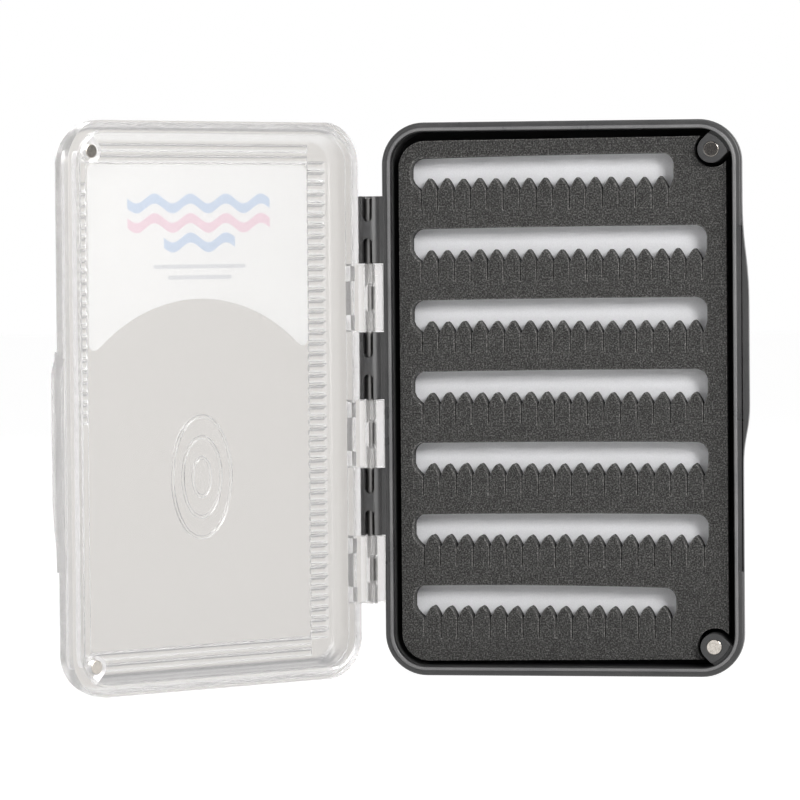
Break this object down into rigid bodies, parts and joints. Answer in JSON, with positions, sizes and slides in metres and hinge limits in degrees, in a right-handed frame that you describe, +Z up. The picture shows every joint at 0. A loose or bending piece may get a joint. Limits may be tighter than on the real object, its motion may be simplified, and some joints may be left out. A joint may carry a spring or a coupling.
{
  "type": "fly box",
  "caption": "Pocket fly box: shallow dark tray with slotted foam rows, clear hinged lid on a steel pin, and corner magnets that hold it shut.",
  "frame": {"origin": "on the floor, at the middle of the flat flange edge at the tray's bottom end", "axes": "+Z up along the box's length and the hinge pin; +X across the tray from the hinge side to the free side; the tray's open mouth faces -Y and its back faces +Y"},
  "size_m": [0.145, 0.0766, 0.125],
  "materials": {
    "dark_plastic": "satin moulded, fine grain",
    "clear_plastic": "clear moulded, polished",
    "steel": "drawn wire",
    "nickel": "nickel plated",
    "grey_foam": "closed-cell foam, speckled",
    "white_foam": "closed-cell foam, smooth",
    "adhesive": "double-sided film",
    "label_print": "printed film"
  },
  "bodies": {
    "base": {"base_tray": "dark_plastic", "hinge_pin": "steel", "slit_foam": "grey_foam", "foam_backing": "white_foam", "backing_adhesive": "adhesive", "base_magnet_upper": "nickel", "base_magnet_lower": "nickel"},
    "lid": {"lid_shell": "clear_plastic", "lid_magnet_upper": "nickel", "lid_magnet_lower": "nickel", "lid_label": "label_print"}
  },
  "joints": [
    {"name": "lid_hinge", "type": "hinge", "parent": "base", "child": "lid", "pos_m": [-0.04365, -0.00213, 0.0625], "axis": [0, 0, -1], "range_deg": [-130, 50]}
  ]
}
